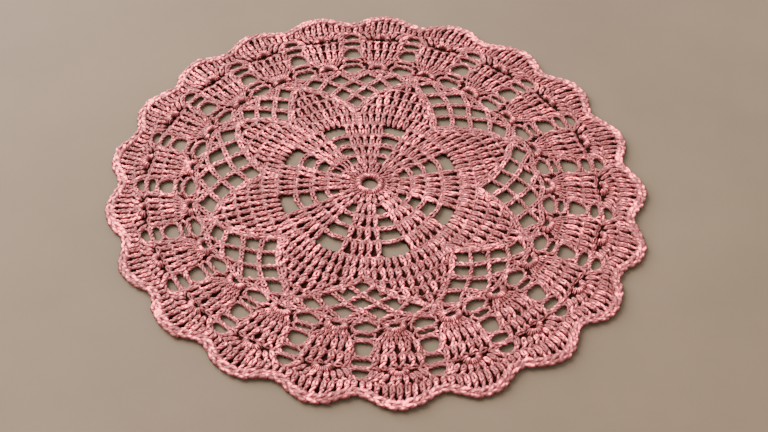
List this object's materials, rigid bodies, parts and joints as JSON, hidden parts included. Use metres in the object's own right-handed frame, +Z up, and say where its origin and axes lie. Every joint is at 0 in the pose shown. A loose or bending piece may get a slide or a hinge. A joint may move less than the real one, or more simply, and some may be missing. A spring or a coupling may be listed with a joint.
{
  "type": "doily",
  "caption": "Round crocheted cotton doily, lying flat: padded centre ring, petalled flower with ladders of bars, open chain net, and a border of fans with a scalloped edge.",
  "frame": {"origin": "middle of the scalloped outline, on the underside, which lies on the table", "axes": "+Z up out of the cloth; +Y away from the viewer of the picture; +X to that viewer's right"},
  "size_m": [0.3042, 0.3035, 0.0041],
  "materials": {
    "cotton_yarn": "matt dusty rose cotton yarn, plied and lightly lustrous"
  },
  "bodies": {
    "root": {"doily": "cotton_yarn"}
  },
  "joints": []
}
